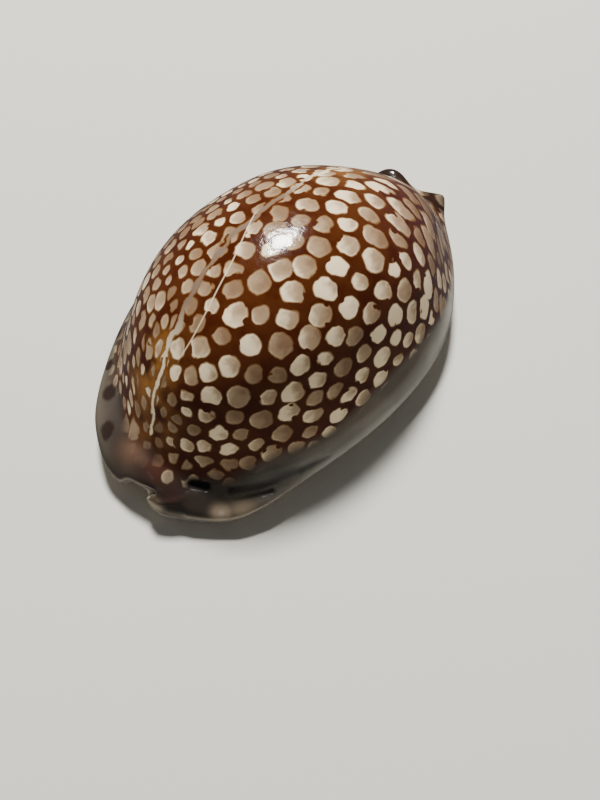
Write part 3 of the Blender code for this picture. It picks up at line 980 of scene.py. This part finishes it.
for name, patches in PATCHES.items():
    value = np.zeros(len(points))
    for *middle_mm, reach, size in patches:
        gap = np.linalg.norm(points / MM - np.array(middle_mm), axis=1)
        value = np.maximum(value, size * bell(gap / reach))
    store(name, value)
for name, hills in COLOUR_HILLS.items():
    store(name, hills_at(points, hills))
print("zones kept:", len(shell_mesh.attributes), "attributes in all")

# %% [markdown]
# ## Finish
# The glaze is clear and very glossy over a pattern that lies in layers. The material follows the
# layers: brown net, spots with a golden, half clear edge, pale line, grey callus, then the fawn
# base. All of it reads Object coordinates and the values kept on the points and faces.

# %% Colours
def tint(red, green, blue):
    """A colour as seen on a screen, turned into the linear values that a shader takes."""
    parts = [part / 255 for part in (red, green, blue)]
    linear = [part / 12.92 if part < 0.04045 else ((part + 0.055) / 1.055) ** 2.4 for part in parts]
    return (*linear, 1.0)


NET_DARK = tint(62, 22, 3)
NET_BROWN = tint(75, 36, 11)
NET_AMBER = tint(116, 70, 24)
NET_PURPLE = tint(66, 30, 34)
NET_GOLD = tint(178, 120, 50)
SPOT_EDGE = tint(116, 80, 42)
SPOT_TAN = tint(130, 102, 76)
SPOT_GREY = tint(170, 144, 114)
SPOT_CREAM = tint(252, 229, 190)
SPOT_MAUVE = tint(214, 190, 196)
LINE_BEIGE = tint(120, 100, 85)
LINE_CREAM = tint(246, 226, 190)
CALLUS_DARK = tint(56, 48, 40)
CALLUS_TAUPE = tint(72, 62, 51)
CALLUS_ASH = tint(94, 85, 76)
CALLUS_GREY = tint(110, 101, 90)
# Painted highlight colour along the rim.
RIM_HIGHLIGHT_PALE = tint(120, 112, 96)
FRONT_SLATE = tint(43, 36, 33)
# Painted sheen colour of the columellar flank.
FLANK_SHEEN_PALE = tint(174, 170, 161)
# Tan and pearl of the pale columellar tip and of a painted reflection in the front bowl.
TAN_TIP_AND_REFLECTION = tint(140, 124, 102)
PEARL_TIP_AND_REFLECTION = tint(176, 168, 156)
BLUSH_PINK = tint(98, 74, 58)
BLUSH_RED = tint(60, 36, 32)
BLOTCH_BROWN = tint(36, 24, 20)
# Painted shade colour for the insides of the deep folds.
FOLD_SHADE_BLACK = tint(20, 14, 12)
# Painted highlight colour on the edge of the rim.
EDGE_HIGHLIGHT_PALE = tint(196, 184, 164)
BASE_FAWN = tint(206, 180, 156)
BASE_CREAM = tint(228, 212, 192)
TOOTH_BROWN = tint(134, 78, 48)
CHAMBER_LILAC = tint(176, 160, 168)
print("darkest net", np.round(NET_DARK[:3], 3), "palest spot", np.round(SPOT_CREAM[:3], 3))

# %% The material, and helpers for its layers
CLOUDS = {
    "net shades": (230, 3), "net specks": (900, 2), "net width": (260, 1), "line winds": (240, 3),
    "line width": (330, 1), "spot edges": (420, 2), "bites": (520, 1), "bridges": (300, 0),
    "fibres": (620, 3), "callus edge": (260, 3), "callus shades": (160, 3), "blotch edge": (500, 2),
    "base shades": (120, 3), "waves": (95, 2), "grit": (1100, 3), "dulling": (700, 3),
}

glaze = bpy.data.materials.new("glazed_cowrie")
glaze.use_nodes = True
layers = glaze.node_tree
point = add(layers, "ShaderNodeTexCoord").outputs["Object"]


def kept(name, output="Fac"):
    """A value kept on the mesh."""
    return add(layers, "ShaderNodeAttribute", attribute_name=name).outputs[output]


def blend(share, first, second, mode="MIX"):
    """The second colour over the first."""
    given = {0: share, 6: first, 7: second}
    node = add(layers, "ShaderNodeMix", given, data_type="RGBA", blend_type=mode, clamp_factor=True)
    return node.outputs[2]


def veil(colour, name, strength, over, mode="MIX"):
    """A colour laid over another as far as a value kept on the mesh says."""
    return blend(times(kept(name), strength), colour, over, mode)


def step_between(value, low_edge, high_edge):
    """0 below one edge, 1 above the other, smooth between."""
    edges = [value, low_edge, high_edge]
    return add(layers, "ShaderNodeMapRange", edges, interpolation_type="SMOOTHSTEP").outputs[0]


def cloud(name, output="Fac", at=point):
    """Soft noise by its name: how many lumps to the metre, and how many finer layers."""
    scale, detail = CLOUDS[name]
    given = {"Vector": at, "Scale": scale, "Detail": detail}
    return add(layers, "ShaderNodeTexNoise", given).outputs[output]


# %% The search for the nearest spot
FAR = 1000.0
SO_FAR = {"Nearest": FAR, "Next": FAR, "Tone": 0.0, "Side": 0.0, "Family": -9.0}
# Tone that a spot gains for each metre from its middle: it is palest in front on the left.
PALE_SIDE = (-300.0, -520.0, 0.0)


def mix_values(share, first, second):
    """One value or the other."""
    given = [share, None, first, second]
    return add(share.id_data, "ShaderNodeMix", given, data_type="FLOAT").outputs[0]


# One step compares one more spot with the nearest so far. Distances are in millimetres.
group = bpy.data.node_groups.new("next_spot", "ShaderNodeTree")
for name in ("Point", "Grain", "Centre", "Facts"):
    new_socket(group, name, "NodeSocketVector")
for name in SO_FAR:
    new_socket(group, name, "NodeSocketFloat")
    new_socket(group, name, "NodeSocketFloat", "OUTPUT")
given = add(group, "NodeGroupInput").outputs
offset = arrow("SUBTRACT", given["Point"], given["Centre"])
along = arrow("SCALE", given["Grain"], None, None, arrow("DOT_PRODUCT", offset, given["Grain"]))
distance = times(arrow("LENGTH", arrow("SUBTRACT", offset, along)), 1 / MM)
radius, tone, family = add(group, "ShaderNodeSeparateXYZ", [given["Facts"]]).outputs
gap = minus(distance, radius)
nearer = calc("LESS_THAN", gap, given["Nearest"])
stranger = calc("GREATER_THAN", calc("ABSOLUTE", minus(family, given["Family"])), 0.5)
rival = calc("MINIMUM", given["Next"], calc("MAXIMUM", gap, given["Nearest"]))
fill(add(group, "NodeGroupOutput"), {
    "Nearest": calc("MINIMUM", gap, given["Nearest"]),
    "Next": mix_values(stranger, given["Next"], rival),
    "Tone": mix_values(nearer, given["Tone"], tone),
    "Side": mix_values(nearer, given["Side"], arrow("DOT_PRODUCT", offset, PALE_SIDE)),
    "Family": mix_values(nearer, given["Family"], family),
})


def nearest_spot(at):
    """The nearest spot to a point on the surface, from the few that its face knows."""
    found = SO_FAR
    for rank in range(NEAREST):
        step = add(layers, "ShaderNodeGroup", node_tree=group)
        spot = {"Centre": kept(f"spot_{rank}", "Vector"), "Facts": kept(f"spot_facts_{rank}", "Vector")}
        fill(step, {"Point": at, "Grain": kept("grain", "Vector"), **spot, **found})
        found = {name: step.outputs[name] for name in SO_FAR}
    return found


print("one step takes", len(group.nodes), "nodes")

# %% [markdown]
# The net is the ground of the material: a dark brown that thins to amber and gold beside the line
# and turns purplish behind. The pale line winds a little and changes its width as it goes.

# %% The brown net and the pale line
LINE_WINDS = 2.4
LINE_WIDENS = 0.7
LINE_LEAST_HALF = 0.02
BEYOND_ENDS = 4.0

shades = cloud("net shades")
net = blend(step_between(shades, 0.35, 0.62), NET_DARK, NET_BROWN)
amber = times(kept("amber"), step_between(shades, 0.36, 0.66))
net = blend(times(amber, 0.8), net, NET_AMBER)
net = veil(net, "purple", 0.8, NET_PURPLE)
net = blend(times(kept("gold"), step_between(shades, 0.30, 0.62)), net, NET_GOLD)
net = blend(times(step_between(cloud("net specks"), 0.5, 0.75), 0.35), net, NET_DARK)

winding = scaled(cloud("line winds"), LINE_WINDS, -LINE_WINDS / 2)
across = calc("ABSOLUTE", plus(kept("line_across"), winding))
half_width = scaled(cloud("line width"), LINE_WIDENS, LINE_LEAST_HALF)
line = plus(minus(half_width, across), scaled(kept("line_ends"), BEYOND_ENDS, -BEYOND_ENDS))
line_colour = blend(kept("line_cream"), LINE_BEIGE, LINE_CREAM)
print("net and line:", len(layers.nodes), "nodes")

# %% [markdown]
# A spot reaches to its own edge, or to the middle of the gap to the next spot less half of the
# net's width. Noise moves the edges, bites into them and joins some spots to the line. Each spot
# has a tone of its own, is paler on its front left side and has a soft golden edge.

# %% Spots over the net
WOBBLE = 1.1 * MM
NET_WIDENS = 0.32
NET_LEAST_HALF = 0.12
PURPLE_NARROWS = -0.45
BITE_DEPTH = 0.55
BRIDGE = 1.2
CLEAR_OF_LINE = -0.22
SOFT_CORNER = 0.28
SOFT_JOIN = 0.15
FIBRE_STRETCH = (1.0, 0.55, 1.0)
SIDE_TONE = 0.42
EDGE_TONE = 0.16

wobble = arrow("SUBTRACT", cloud("spot edges", "Color"), (0.5, 0.5, 0.5))
found = nearest_spot(arrow("ADD", point, arrow("SCALE", wobble, None, None, WOBBLE)))
inner = times(found["Nearest"], -1.0)
half_gap = times(minus(found["Next"], found["Nearest"]), 0.5)
wide_net = step_between(cloud("net width"), 0.35, 0.65)
wide_net = times(wide_net, scaled(kept("purple"), PURPLE_NARROWS, 1.0))
net_half = scaled(wide_net, NET_WIDENS, NET_LEAST_HALF)
depth = calc("SMOOTH_MIN", inner, minus(half_gap, net_half), SOFT_CORNER)
depth = minus(depth, times(step_between(cloud("bites"), 0.60, 0.78), BITE_DEPTH))
bridges = times(step_between(cloud("bridges"), 0.50, 0.58), BRIDGE)
depth = calc("SMOOTH_MIN", depth, plus(minus(CLEAR_OF_LINE, line), bridges), SOFT_JOIN)
depth = calc("SMOOTH_MAX", depth, line, SOFT_JOIN)

fibres = arrow("MULTIPLY", point, FIBRE_STRETCH)
tone = plus(found["Tone"], times(found["Side"], SIDE_TONE))
tone = plus(tone, minus(cloud("fibres", at=fibres), 0.5))
tone = scaled(minus(1.0, step_between(depth, 0.12, 0.55)), EDGE_TONE, tone)
body = blend(step_between(tone, -0.1, 0.55), SPOT_TAN, SPOT_GREY)
body = blend(step_between(tone, 0.46, 1.02), body, SPOT_CREAM)
body = veil(body, "purple", 0.45, SPOT_MAUVE, "MULTIPLY")
body = blend(step_between(line, -0.25, 0.15), body, line_colour)
colour = blend(step_between(depth, -0.09, 0.05), net, SPOT_EDGE)
colour = blend(step_between(depth, 0.0, 0.24), colour, body)

# Painted highlight along a faint growth ridge beside the pale line.
ridge_glint = minus(1.0, step_between(calc("ABSOLUTE", kept("ridge_glint_across")), 0.03, 0.16))
colour = blend(times(times(ridge_glint, kept("ridge_glint_ends")), 0.6), colour, LINE_CREAM)
print("with the spots:", len(layers.nodes), "nodes")

# %% [markdown]
# The callus is younger than the spots and lies over them, half clear where it is thin. It is dark
# in front, paler grey on the columellar flank, and has blotches and a blush. Over it lie painted
# sheen on the columellar flank, painted highlights along the rim and its edge, painted shade in the
# folds, and a painted reflection in the front bowl beside the pale columellar tip.

# %% The callus over the foot of the dorsum
callus_cover = plus(kept("callus"), scaled(cloud("callus edge"), 0.9, -0.45))
shades = step_between(cloud("callus shades"), 0.35, 0.65)
grey = blend(shades, CALLUS_TAUPE, CALLUS_DARK)
grey = blend(kept("callus_light"), grey, blend(shades, CALLUS_GREY, CALLUS_ASH))
grey = veil(grey, "front", 1.0, FRONT_SLATE)
# Painted highlight along the rim.
grey = veil(grey, "painted_rim_highlight", 0.5, RIM_HIGHLIGHT_PALE)
# Painted sheen on the columellar flank.
grey = veil(grey, "painted_flank_sheen", scaled(shades, -0.2, 0.95), FLANK_SHEEN_PALE)
# Painted reflection in the front bowl, and the pale colour of the columellar tip.
grey = blend(step_between(kept("pale_tip_and_reflection"), 0.0, 0.6), grey, TAN_TIP_AND_REFLECTION)
grey = blend(step_between(kept("pale_tip_and_reflection"), 0.6, 1.0), grey, PEARL_TIP_AND_REFLECTION)
grey = veil(grey, "blush", 0.9, BLUSH_PINK)
grey = veil(grey, "dark_blush", 0.9, BLUSH_RED)
colour = blend(step_between(callus_cover, -0.35, 0.95), colour, grey)
blotched = step_between(plus(kept("blotch"), scaled(cloud("blotch edge"), 0.6, -0.3)), 0.0, 0.40)
colour = blend(times(blotched, 0.85), colour, BLOTCH_BROWN)
# Painted highlight along the edge of the rim.
colour = veil(colour, "painted_edge_highlight", 0.55, EDGE_HIGHLIGHT_PALE)
# Painted shade inside the deep folds.
colour = veil(colour, "painted_fold_shade", 0.85, FOLD_SHADE_BLACK)
print("with the callus:", len(layers.nodes), "nodes")

# %% The base, the teeth and the chamber
fawn = blend(step_between(cloud("base shades"), 0.35, 0.65), BASE_FAWN, BASE_CREAM)
colour = blend(kept("base"), colour, fawn)
colour = blend(times(step_between(kept("tooth_ridge"), 0.15, 0.6), 0.8), colour, TOOTH_BROWN)
colour = veil(colour, "chamber", 1.0, CHAMBER_LILAC)
print("with the base:", len(layers.nodes), "nodes")

# %% [markdown]
# The glaze over it all is one clear gloss: faintly waved by growth, a little uneven, and duller
# down in the folds, which lie in shadow and mirror nothing bright.

# %% The glaze, and the finished shell
dull = step_between(kept("painted_fold_shade"), 0.0, 0.35)
rough = scaled(dull, 0.55, scaled(cloud("dulling"), 0.14, 0.05))
height = scaled(cloud("grit"), 0.10, times(cloud("waves"), 0.40))
relief = add(layers, "ShaderNodeBump", {"Strength": 0.35, "Distance": 1.0 * MM, "Height": height})
fill(layers.nodes["Principled BSDF"], {
    "Base Color": colour,
    "Roughness": rough,
    "IOR": 1.42,
    "Specular IOR Level": 0.45,
    "Normal": relief.outputs[0],
})

# The teeth are grown last, because their tree also lays the glaze on the shell.
modifier = shell.modifiers.new("teeth", "NODES")
modifier.node_group = teeth
sizes = {**TOOTH_SIZES, "Seed": TOOTH_SEED, "Finish": glaze}
for item in teeth.interface.items_tree:
    if item.in_out == "INPUT" and item.name in sizes:
        modifier[item.identifier] = sizes[item.name]
evaluated = shell.evaluated_get(bpy.context.evaluated_depsgraph_get())
grown = bpy.data.meshes.new_from_object(evaluated)
shell.modifiers.clear()
shell.data = grown
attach(shell, "root")
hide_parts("shell")
print("shell finished with", len(shell.data.materials), "material,", len(shell.data.polygons), "faces")

# %% [markdown]
# ## Floor, light and camera
# The shell lies on a plain pale floor under soft light, with one bright window whose mirror image
# is the broad highlight on the dorsum. The camera looks down on the columellar side from the front.

# %% Floor
FLOOR_REACH = 1.5
FLOOR_ROUGHNESS = 0.9

level = float(cad_low[2])
corners = [(x * FLOOR_REACH, y * FLOOR_REACH, level) for x, y in ((-1, -1), (1, -1), (1, 1), (-1, 1))]
floor_mesh = bpy.data.meshes.new("floor")
floor_mesh.from_pydata(corners, [], [(0, 1, 2, 3)])
pale = bpy.data.materials.new("pale_floor")
pale.use_nodes = True
floor_look = {"Base Color": tint(212, 211, 202), "Roughness": FLOOR_ROUGHNESS}
fill(pale.node_tree.nodes["Principled BSDF"], floor_look)
floor_mesh.materials.append(pale)
floor = show("floor", floor_mesh)
floor.visible_glossy = False
floor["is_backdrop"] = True
print("floor at", level, "m, left out of mirror images so that it lays no haze on the flanks")

# %% Light
WINDOW_TOWARD = Vector((-0.33, 0.35, 0.88)).normalized()
WINDOW_DISTANCE = 0.70
WINDOW_SIZE = 0.13
WINDOW_POWER = 11.3
WINDOW_COLOUR = (1.0, 0.98, 0.95)
ROOM_COLOUR = tint(214, 216, 220)
ROOM_STRENGTH = 0.19

window_data = bpy.data.lights.new("window", "AREA")
window_data.size = WINDOW_SIZE
window_data.energy = WINDOW_POWER
window_data.color = WINDOW_COLOUR
window = show("window", window_data)
window.location = WINDOW_TOWARD * WINDOW_DISTANCE
window.rotation_euler = WINDOW_TOWARD.to_track_quat("Z", "Y").to_euler()
world = bpy.context.scene.world or bpy.data.worlds.new("studio")
bpy.context.scene.world = world
world.use_nodes = True
fill(world.node_tree.nodes["Background"], {"Color": ROOM_COLOUR, "Strength": ROOM_STRENGTH})
print("one window of", WINDOW_SIZE, "m at", WINDOW_DISTANCE, "m")

# %% Camera
CAMERA_AZIMUTH = math.radians(38.94)
CAMERA_ELEVATION = math.radians(60.0)
CAMERA_DISTANCE = 147.54 * MM
CAMERA_LENS = 42.75
NEAREST_SEEN = 5 * MM
LOOK_AT = Vector((8.62 * MM, -6.68 * MM, 0.0))

flat = math.cos(CAMERA_ELEVATION)
back = Vector((math.sin(CAMERA_AZIMUTH) * flat, -math.cos(CAMERA_AZIMUTH) * flat, 0.0))
back.z = math.sin(CAMERA_ELEVATION)
camera_data = bpy.data.cameras.new("camera")
camera_data.lens = CAMERA_LENS
camera_data.clip_start = NEAREST_SEEN
camera = show("camera", camera_data)
camera.location = LOOK_AT + back * CAMERA_DISTANCE
camera.rotation_euler = back.to_track_quat("Z", "Y").to_euler()
bpy.context.scene.camera = camera
print("camera at", [round(part / MM, 1) for part in camera.location], "mm")

shown_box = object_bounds()
sizes = {"cad": [list(corner) for corner in cad_box], "shown": [list(corner) for corner in shown_box]}
print("shown size in mm", [round((b - a) / MM, 3) for a, b in zip(*sizes["shown"])])
